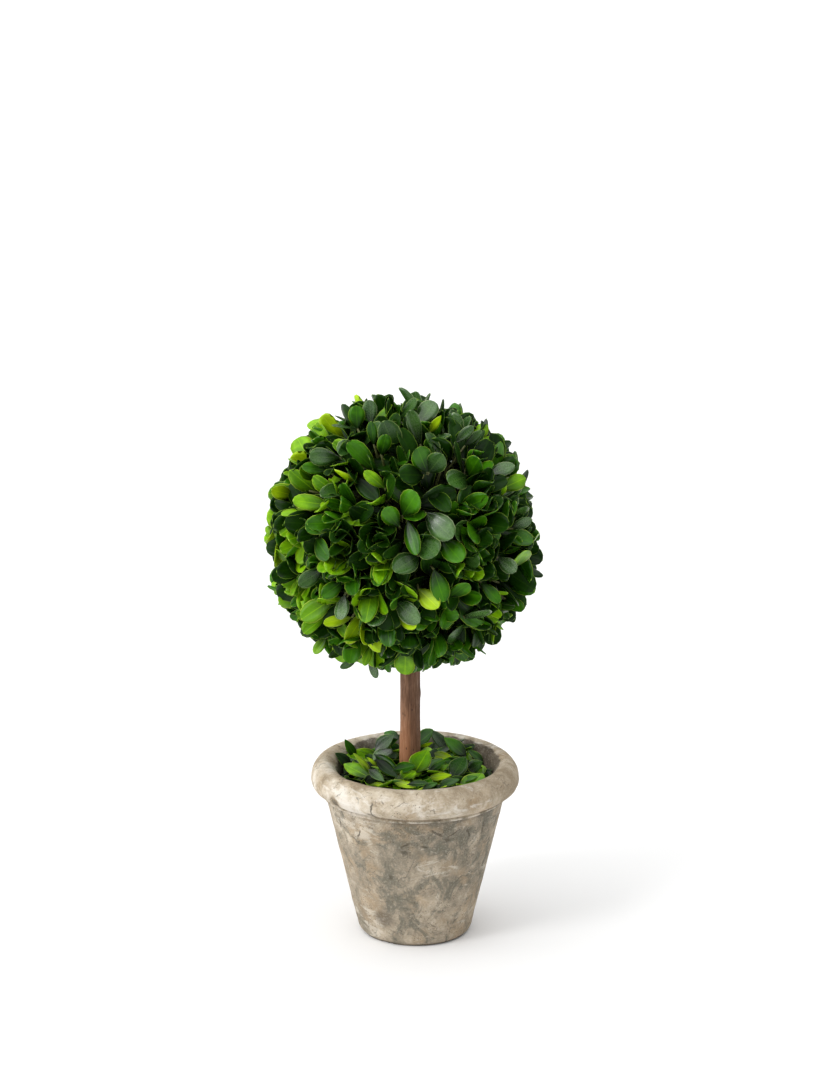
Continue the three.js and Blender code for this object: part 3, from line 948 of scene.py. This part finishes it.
crown = {
    "seed": 5,
    "driftSeed": 4,  # never nought, which would take the clock's time
    "coreRadius": 0.0510,
    "sprigs": 225,
    "pairs": 4,
    "uneven": 0.20,
    "lean": 0.30,  # each sprig's own
    "drift": 0.80,  # how far neighbours lean over together
    "firstPair": 0.0045,  # out from the core
    "lastPair": 0.0125,
    "wideOpen": 0.80,  # the lowest pair's angle off its twig
    "leastOpen": 0.26,
    "longest": 0.0282,
    "shortest": 0.0232,
    "slender": 0.55,  # width as a share of length
    "shoulders": 0.04,  # fuller than a ball halfway up and halfway down
    "raggedness": 0.07,  # how far short of the ball's full reach some leaves stop
    "cup": (0.2, 0.95),
    "curl": (1.0, 1.6),
    "bend": (-0.45, 0.50),
    "curled": 0.14,  # the share of leaves that curl, flop, or are of their sprig's own kind
    "flopped": 0.14,
    "ownKind": 0.6,
    "older": 0.6,  # of the leaves low on a twig, which are made deep green as painted shade deep in the ball
    "wrapped": 0.28,  # of the sprigs, whose top pairs curl round each other
    "flop": (0.3, 0.8),  # radians further off the twig
    "standOut": (-0.0055, 0.0025),  # some sprigs stand further out than others
    "sprigSize": (0.9, 1.08),
    "leafSize": (0.86, 1.1),
    "leafWidth": (0.86, 1.12),
    "point": (-0.5, 0.35),
    "bow": 0.25,
    "waver": 0.5,  # round the twig, in radians
    "openWaver": 0.35,
    "roll": 0.8,
    "twist": 0.7,
    "pullIn": 1.3,  # of what a leaf reaches too far
    "mostReach": 1.005,
    "stemTop": 0.2,  # leaves that hang lower keep clear of the stem
    "seenFrom": 14.6,  # degrees above level, for the leaves that stand out
    "stalkReach": 0.0700,
    "tipReach": 0.0840,
    "fullLeaf": 0.0235,  # the most that a leaf that stands out may measure
    "fullWidth": 0.0150,
    "twigFoot": 0.0011,
    "twigTip": 0.0006,
}
crownMiddle = np.array([-0.0068, 0, 0.2485])
crownRadius = np.array([0.0842, 0.0842, 0.0860])


def sideways(direction):
    helper = (0, 0, 1) if abs(direction[2]) < 0.9 else (1, 0, 0)
    first = np.cross(helper, direction)
    first /= np.linalg.norm(first)
    return first, np.cross(direction, first)


def shoulder(height):  # how much further out the ball reaches, by the height on a ball of one
    return 1 + crown["shoulders"] * 4 * height**2 * (1 - height**2)


# Where the ball is clipped flatter or stands out: the angle seen from the front, from the right and
# upwards, the share of its reach and the width, in degrees
crownSwells = [
    (15, -0.060, 12), (47, -0.055, 12), (85, 0.015, 10), (117, 0.075, 14), (151, -0.070, 9),
    (170, 0.015, 8), (200, 0.035, 9), (213, -0.020, 8), (322, -0.040, 14), (348, 0.030, 10),
]


def swell(out):  # how much further out the ball reaches there, as a share
    tilt = math.radians(crown["seenFrom"])
    up = out[..., 2] * math.cos(tilt) + out[..., 1] * math.sin(tilt)
    angle = np.degrees(np.arctan2(up, out[..., 0]))
    share = np.zeros(angle.shape)
    for middle, amount, width in crownSwells:
        share += amount * np.exp(-(turnOff(angle, middle) / width) ** 2)
    return share * np.minimum(np.hypot(out[..., 0], up), 1) ** 4


def sprigKind(outward, chance):  # painted light: more pale fresh and lime leaves on the lit left, more grey and satin leaves for the sheen on top and at the right, more deep leaves for the shade in the middle and at the right
    right, _, up = outward
    shares = {
        "fresh": max(0.12 - 0.33 * right, 0.05) + 0.06 * up**2,
        "lime": 0.022 - 0.065 * right,
        "grey": 0.05 + 0.05 * right + 0.03 * up,
        "satin": 0.015 + 0.015 * right + 0.02 * up,
        "deep": 0.42 + 0.10 * right - 0.12 * (right**2 + up**2),
    }
    for kind, share in shares.items():
        if chance < share:
            return kind
        chance -= max(share, 0)
    return "green"


def growSprig(outward, dice, twigs, leaves):
    def jitter(amount):
        return amount * (dice.random() - 0.5)

    first, second = sideways(outward)
    drift = np.array(noise.noise_vector(Vector(outward * 1.6) + Vector((7, 3, 5))))
    drift -= outward * np.dot(drift, outward)
    lean = first * jitter(crown["lean"]) + second * jitter(crown["lean"]) + drift * crown["drift"]
    axis = unit(outward + lean)
    height = mix(*crown["standOut"], dice.random())
    foot = crownMiddle + outward * crown["coreRadius"] - lean * 0.012
    foot += outward * (shoulder(outward[2]) - 1) * crownRadius[0]
    kind = sprigKind(outward, dice.random())
    scale = mix(*crown["sprigSize"], dice.random())
    turn = dice.random() * fullTurn
    bow = first * jitter(crown["bow"]) + second * jitter(crown["bow"])
    last = crown["lastPair"] + height
    wrapped = dice.random() < crown["wrapped"]
    twigs.append((foot - axis * 0.004, foot + axis * (last + 0.0012), bow))
    for pair in range(crown["pairs"]):
        share = pair / (crown["pairs"] - 1)
        out = mix(crown["firstPair"], last, share)
        size = mix(crown["longest"], crown["shortest"], share**1.5) * scale
        for side in (0, math.pi):
            angle = turn + side + jitter(crown["waver"])
            opening = mix(crown["wideOpen"], crown["leastOpen"], share) + jitter(crown["openWaver"])
            if dice.random() < crown["flopped"]:
                opening += mix(*crown["flop"], dice.random())
            away = first * math.cos(angle) + second * math.sin(angle)
            along = axis * math.cos(opening) + away * math.sin(opening)
            face = axis * math.sin(opening) - away * math.cos(opening)
            long = size * mix(*crown["leafSize"], dice.random())
            cup = mix(*crown["cup"], dice.random())
            if dice.random() < crown["curled"] or (wrapped and share > 0.6):
                cup = mix(*crown["curl"], dice.random())
            leaf = {
                "root": foot + axis * out + away * 0.0004,
                "along": along,
                "face": face + np.cross(along, face) * jitter(crown["roll"]),
                "long": long,
                "wide": long * crown["slender"] * mix(*crown["leafWidth"], dice.random()),
                "cup": cup,
                "bend": mix(*crown["bend"], dice.random()),
                "twist": jitter(crown["twist"]),
                "point": max(mix(*crown["point"], dice.random()), 0),
                "short": crown["raggedness"] * dice.random() ** 1.5,
                "tile": dice.randrange(leafBlade["tiles"] ** 2),
                "kind": kind if dice.random() < crown["ownKind"] else sprigKind(outward, dice.random()),
            }
            # painted shade: leaves low on the twig, deep in the ball, are dealt the deep green kind
            if share < 0.5 and dice.random() < crown["older"]:
                leaf["kind"] = "deep"
            leaves.append(leaf)
        turn += fullTurn / 4


def fromStem(points):  # how near each leaf comes to the middle of the stem
    return np.hypot(points[..., 0] - stemX, points[..., 1]).min(axis=1)


def keptInside(leaves):  # pulls in a leaf that would leave the ball, and skips one that meets the stem
    for _ in range(4):
        points = leafPoints(leaves)
        out = (points - crownMiddle) / crownRadius
        far = np.linalg.norm(out, axis=2)
        short = np.array([leaf["short"] for leaf in leaves])
        reach = (far / shoulder(out[..., 2] / far) - swell(out)).max(axis=1) + short
        for leaf, far in zip(leaves, reach):
            if far > 1:
                leaf["root"] -= (leaf["root"] - crownMiddle) * (far - 1) * crown["pullIn"]
    low = points[..., 2].min(axis=1) < crown["stemTop"]
    onStem = (fromStem(points) < stem["footRadius"] + stem["leafGap"]) & low
    kept = (reach < crown["mostReach"]) & ~onStem
    return [leaf for leaf, keep in zip(leaves, kept) if keep]


viewTilt = math.radians(crown["seenFrom"])
toViewer = np.array([0, -math.cos(viewTilt), math.sin(viewTilt)])
upward = np.array([0, math.sin(viewTilt), math.cos(viewTilt)])

# Leaves that stand out on the front: how far right and up of the ball's middle the stalk is, then the
# tip, in millimetres and seen from a little above, then width as a share of length
crownSpecials = [
    (12, 13, 27, -1, 0.78, "satin"), (-1, 10, 8, 24, 0.76, "green"), (-2, 4, -11, 15, 0.62, "green"),
    (2, 9, 7, -11, 0.42, "green"), (8, -2, 20, -13, 0.82, "grey"), (22, -2, 34, -17, 0.74, "green"),
    (9, -12, -5, -21, 0.78, "grey"), (17, -19, 23, -38, 0.58, "green"),
    (8, -31, 20, -42, 0.66, "lime"), (-5, -38, 9, -50, 0.62, "satin"), (-4, -47, 7, -53, 0.40, "lime"),
    (14, 35, 7, 50, 0.80, "green"), (14, 35, 23, 46, 0.76, "grey"), (12, 34, -2, 34, 0.62, "deep"),
    (15, 59, 22, 69, 0.34, "lime"), (8, 63, 18, 78, 0.62, "satin"), (-3, 68, 8, 78, 0.60, "grey"),
    (-19, 64, -20, 79, 0.60, "satin"), (-27, 61, -28, 75, 0.72, "green"),
    (-27, 62, -41, 64, 0.36, "grey"), (-39, 60, -57, 67, 0.78, "fresh"),
    (-54, 42, -64, 58, 0.72, "fresh"), (-36, 45, -55, 44, 0.58, "grey"),
    (-43, 37, -59, 39, 0.44, "green"), (-65, 23, -77, 26, 0.60, "lime"),
    (-41, 17, -65, 20, 0.42, "fresh"), (-29, 34, -15, 21, 0.50, "deep"),
    (-10, 26, -22, 36, 0.40, "fresh"), (-13, 45, -10, 57, 0.60, "green"),
    (-17, 51, -19, 65, 0.40, "green"), (-42, -38, -61, -51, 0.56, "fresh"),
    (-29, -48, -47, -51, 0.40, "lime"), (-34, -34, -36, -49, 0.58, "satin"),
    (-46, -20, -61, -29, 0.62, "grey"), (-35, -27, -47, -36, 0.62, "green"),
    (30, 53, 41, 63, 0.40, "satin"), (35, 51, 45, 60, 0.36, "grey"), (48, 34, 65, 41, 0.44, "satin"),
    (56, 26, 71, 33, 0.56, "fresh"), (65, 9, 74, 18, 0.60, "grey"), (63, 3, 75, 9, 0.46, "satin"),
    (71, -12, 79, -1, 0.62, "fresh"), (63, -21, 71, -10, 0.70, "fresh"),
    (54, -13, 65, -22, 0.62, "satin"), (44, -27, 56, -39, 0.44, "green"),
    (60, -38, 70, -45, 0.66, "green"), (35, -49, 50, -43, 0.50, "satin"),
    (26, -38, 38, -27, 0.40, "green"), (1, -65, 1, -82, 0.74, "fresh"),
    (-19, -64, -23, -77, 0.44, "fresh"), (-21, -72, -15, -85, 0.42, "satin"),
    (-27, -73, -38, -79, 0.46, "grey"), (-46, -61, -53, -71, 0.60, "fresh"),
    (21, -67, 28, -77, 0.60, "green"), (35, -56, 30, -60, 0.60, "grey"),
    (52, -51, 52, -61, 0.70, "fresh"), (44, 3, 35, -2, 0.60, "green"), (37, 34, 26, 29, 0.60, "grey"),
    (-51, -2, -44, -13, 0.50, "green"), (-71, 2, -81, 0, 0.66, "lime"),
    (-69, -10, -78, -13, 0.66, "lime"),
]


def onBall(right, up, reach):  # a place on the ball's front, from how far right and up it looks
    forward = math.sqrt(max(reach**2 - right**2 - up**2, 0))
    return crownMiddle + np.array([right, 0, 0]) + upward * up + toViewer * forward


def specialLeaves(dice, twigs):
    leaves = []
    for stalkRight, stalkUp, tipRight, tipUp, wide, kind in crownSpecials:
        root = onBall(stalkRight / 1000, stalkUp / 1000, crown["stalkReach"])
        tip = onBall(tipRight / 1000, tipUp / 1000, crown["tipReach"])
        ahead = np.dot(tip - root, toViewer)
        allowed = math.sqrt(max(crown["fullLeaf"] ** 2 - np.dot(tip - root, tip - root) + ahead**2, 0))
        tip -= toViewer * (ahead - min(max(ahead, -allowed), allowed))
        facing = unit(root + tip - crownMiddle * 2) + toViewer
        leaf = laidLeaf(dice, root, tip, facing, mix(-0.3, 0.3, dice.random()), wide, kind)
        leaf["wide"] = min(leaf["wide"], crown["fullWidth"])
        leaf["point"] = 0.9 if wide < 0.36 else mix(0, 0.3, dice.random())
        leaf["cup"] = mix(0.15, 0.55, dice.random())
        leaf["short"] = 0
        foot = crownMiddle + unit(root - crownMiddle) * (crown["coreRadius"] - 0.002)
        twigs.append((foot, root + leaf["along"] * 0.001, np.zeros(3)))
        leaves.append(leaf)
    return leaves


def notOver(specials, leaves):  # drops a leaf that would hide or pierce one of the leaves that stand out
    points = leafPoints(leaves)
    hidden = np.zeros(len(leaves), bool)
    for special in specials:
        offset = points - (special["root"] + special["along"] * special["long"] * leafBlade["widest"])
        height = offset @ special["face"]
        along = offset @ special["along"]
        across = offset @ np.cross(special["face"], special["along"])
        beside = np.hypot(along / special["long"] * 2.8, across / special["wide"] * 2.2)
        hidden |= ((height > -0.0006) & (height < 0.03) & (beside < 1)).any(axis=1)
    return [leaf for leaf, out in zip(leaves, hidden) if not out]


def twigMesh(name, twigs):
    sides, rings = 5, 4
    points, faces = [], []
    for foot, tip, bow in twigs:
        first, second = sideways(unit(tip - foot))
        start = len(points)
        for ring in range(rings):
            share = ring / (rings - 1)
            middle = foot + (tip - foot) * share + bow * (share * (1 - share) * 0.01)
            radius = mix(crown["twigFoot"], crown["twigTip"], share)
            for i in range(sides):
                angle = fullTurn * i / sides
                points.append(middle + (first * math.cos(angle) + second * math.sin(angle)) * radius)
        for ring in range(rings - 1):
            for i in range(sides):
                a, b = start + ring * sides + i, start + ring * sides + (i + 1) % sides
                faces.append((a, b, b + sides, a + sides))
        faces.append(tuple(start + i for i in reversed(range(sides))))
        faces.append(tuple(start + (rings - 1) * sides + i for i in range(sides)))
    return newPiece(name, [tuple(point) for point in points], faces)


def greenTwig():
    material, tree, shader = newMaterial("greenTwig")
    grain = noiseOf(tree, objectSpot(tree), 0.002, 4, 0.6)
    colour = ramp(tree, grain, [(0.35, (0.055, 0.050, 0.018)), (0.65, (0.16, 0.19, 0.045))])
    setSurface(tree, shader, colour, 0.6, bump(tree, grain, 0.4, 0.0003))
    return material


def makeCore():  # the dark ball that the sprigs grow from
    core = startWith(
        bpy.ops.mesh.primitive_ico_sphere_add,
        subdivisions=6,
        radius=crown["coreRadius"],
        location=tuple(crownMiddle),
    )
    displace(core, "CLOUDS", 0.006, 0.0026)
    displace(core, "CLOUDS", 0.0022, 0.0012)
    cutSocket(core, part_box("crown")[0].z, stemHigh.z + stem["clearance"])
    # near black: the moss's own dark colour, darkened further as painted shade for the gaps between the
    # sprigs
    moss = mossyFoam("ballMoss", (0.004, 0.006, 0.002), (0.020, 0.024, 0.008), 0.003)
    finishPiece(core, "crown_core", [moss], "crown")


def makeCrown():
    noise.seed_set(crown["driftSeed"])
    dice = random.Random(crown["seed"])
    twigs, leaves = [], []
    for i in range(crown["sprigs"]):
        height = 1 - (2 * i + 1) / crown["sprigs"]
        angle = i * goldenAngle + crown["uneven"] * (dice.random() - 0.5)
        level = math.sqrt(1 - height * height)
        outward = np.array([level * math.cos(angle), level * math.sin(angle), height])
        growSprig(outward, dice, twigs, leaves)
    specials = specialLeaves(dice, twigs)
    leaves = notOver(specials, keptInside(leaves)) + keptInside(specials)
    stemGap = stem["footRadius"] + 0.002
    twigs = [
        twig for twig in twigs
        if twig[0][2] > crownMiddle[2] or math.hypot(twig[0][0] - stemX, twig[0][1]) > stemGap
    ]
    twigPiece = twigMesh("crown_twigs", twigs)
    finishPiece(twigPiece, "crown_twigs", [greenTwig()], "crown")
    makeLeafPieces("crown", leaves, "crown")
    print("crown ready", len(leaves))


# Loose leaves over the filling

litter = {
    "seed": 11,
    "leaves": 270,
    "edge": 0.0440,
    "lowest": 0.0905,
    "low": 0.0965,  # how high the middle of a leaf lies, by the wall
    "middle": 0.1000,
    "rise": 0.0035,  # higher towards the back
    "layer": 0.0060,  # how deep they are strewn
    "longest": 0.0275,
    "shortest": 0.0195,
    "kinds": {"deep": 32, "green": 28, "fresh": 23, "lime": 14, "grey": 3},
    "seenFrom": 18.5,  # degrees above level, for the leaves that stand out
    "seenHeight": 98.5,  # mm, of the middle they are counted from
}


def potInside(height):  # the inner wall, and above it the rim's rounded inner side
    over = np.clip((height - pot["rollHeight"]) / pot["rollUp"], 0, 1)
    rim = pot["rollRadius"] - pot["rollOut"] * np.sqrt(1 - over**2)
    share = (height - pot["floor"]) / (pot["rollHeight"] - pot["floor"])
    foot = mix(pot["footRadius"], pot["neckRadius"], pot["floor"] / pot["neckHeight"]) - pot["wall"]
    return np.where(height > pot["rollHeight"], rim, mix(foot, pot["rollRadius"] - pot["rollOut"], share))


# Leaves that stand out: how far right and up of the pot's middle the stalk looks and how high it lies,
# the same for the tip, all in millimetres, then the leaf's roll and its width as a share of length
litterSpecials = [
    ((-1, 0, 104), (8, 13, 113), -5, 0.80, "fresh"), ((-14, 2, 107), (0, 5, 109), 10, 0.60, "green"),
    ((-24, 9, 109), (-9, -3, 102), 25, 0.36, "deep"), ((-25, 12, 110), (-10, 1, 103), 15, 0.34, "green"),
    ((-8, -3, 104), (0, 3, 107), 0, 0.85, "fresh"), ((22, -3, 99), (30, 11, 111), 0, 0.75, "grey"),
    ((31, 1, 99), (42, 7, 106), 10, 0.74, "grey"), ((7, -3, 101), (22, 0, 104), 15, 0.38, "lime"),
    ((14, -8, 100), (27, -1, 104), 0, 0.50, "green"), ((-5, -6, 102), (8, -5, 103), 5, 0.40, "grey"),
    ((-14, -4, 101), (1, -8, 100), 20, 0.30, "lime"), ((4, -9, 100), (14, -4, 102), 15, 0.30, "green"),
    ((-27, -2, 101), (-43, 5, 103), 0, 0.46, "fresh"), ((-26, -1, 100), (-37, 13, 112), 20, 0.36, "lime"),
    ((-39, 4, 98), (-48, 13, 108), 0, 0.60, "deep"), ((-36, 9, 100), (-43, 21, 113), -10, 0.44, "green"),
    ((-14, 15, 108), (-25, 10, 108), 10, 0.55, "satin"), ((-25, 13, 102), (-12, 23, 112), 5, 0.70, "grey"),
    ((0, 17, 102), (13, 26, 113), 0, 0.70, "green"), ((3, 16, 103), (11, 19, 107), 60, 0.34, "lime"),
    ((21, 12, 98), (10, 28, 114), 10, 0.44, "grey"), ((32, 10, 101), (18, 22, 112), -15, 0.50, "green"),
    ((43, 6, 98), (34, 15, 107), 0, 0.46, "green"), ((3, 13, 101), (10, 15, 106), 0, 0.50, "fresh"),
    ((14, 1, 101), (20, 6, 106), 0, 0.50, "fresh"), ((8, 1, 102), (18, 7, 105), 15, 0.36, "green"),
    ((-23, 4, 102), (-29, 10, 107), 10, 0.34, "lime"), ((-25, 12, 102), (-34, 14, 105), 0, 0.30, "fresh"),
    ((-28, 3, 106), (-18, -5, 102), 10, 0.40, "grey"), ((-27, -6, 99), (-16, -7, 99), 0, 0.32, "lime"),
    ((-18, 13, 101), (-12, 9, 104), 0, 0.40, "deep"), ((27, -5, 99), (38, 0, 102), 0, 0.36, "green"),
    ((-22, 15, 104), (-9, 23, 111), 0, 0.50, "green"), ((-10, 21, 111), (-19, 26, 113), 10, 0.55, "green"),
]


def inPot(right, up, height):  # a place in the pot's mouth, seen from a little above
    tilt = math.radians(litter["seenFrom"])
    back = (up - (height - litter["seenHeight"]) * math.cos(tilt)) / math.sin(tilt)
    return np.array([right, back, height]) / 1000


def settled(leaves):  # moves each leaf clear of wall, filling and stem, and drops it if it won't fit
    for attempt in range(5):
        points = leafPoints(leaves)
        beyond = (np.hypot(points[..., 0], points[..., 1]) - potInside(points[..., 2])).max(axis=1) + 0.0003
        sunk = litter["lowest"] - points[..., 2].min(axis=1)
        onStem = stem["footRadius"] + stem["leafGap"] - fromStem(points)
        if attempt == 4:
            fits = (beyond <= 1e-5) & (sunk <= 1e-5) & (onStem <= 0)
            return [leaf for leaf, fit in zip(leaves, fits) if fit]
        for leaf, far, low, near, spot in zip(leaves, beyond, sunk, onStem, points.mean(axis=1)):
            if far > 0:
                leaf["root"][:2] -= spot[:2] / np.linalg.norm(spot[:2]) * (far + 0.0001)
            if low > 0:
                leaf["root"][2] += low + 0.0001
            if near > 0:
                away = spot[:2] - (stemX, 0)
                leaf["root"][:2] += away / np.linalg.norm(away) * (near + 0.0001)


def makeLitter():
    dice = random.Random(litter["seed"])
    specials = [
        laidLeaf(dice, inPot(*root), inPot(*tip), np.array([0, -0.55, 0.83]), math.radians(roll), wide, kind)
        for root, tip, roll, wide, kind in litterSpecials
    ]
    leaves = []
    kinds = [kind for kind, share in litter["kinds"].items() for _ in range(share)]
    for i in range(litter["leaves"]):
        radius = litter["edge"] * math.sqrt((i + 0.5) / litter["leaves"])
        place = i * goldenAngle
        middle = np.array([radius * math.cos(place), radius * math.sin(place), 0])
        middle[2] = mix(litter["middle"], litter["low"], (radius / litter["edge"]) ** 2)
        middle[2] += litter["rise"] * middle[1] / litter["edge"] + litter["layer"] * (dice.random() - 0.5)
        heading = dice.random() * fullTurn
        slope = mix(-0.1, 0.6, dice.random() ** 2)
        long = mix(litter["shortest"], litter["longest"], dice.random())
        reach = np.array([
            math.cos(heading) * math.cos(slope), math.sin(heading) * math.cos(slope), math.sin(slope),
        ]) * long
        root, tip = middle - reach * 0.45, middle + reach * 0.55
        wide = mix(0.42, 0.58, dice.random())
        up = np.array([0, 0, 1])
        leaves.append(laidLeaf(dice, root, tip, up, dice.gauss(0, 0.4), wide, dice.choice(kinds)))
    specials = settled(specials)
    leaves = notOver(specials, settled(leaves)) + specials
    makeLeafPieces("litter", leaves, "loose_leaves")
    print("litter ready", len(leaves))


makeStudio()
makePot()
makeStem()
makeFilling()
makeCore()
makeCrown()
makeLitter()
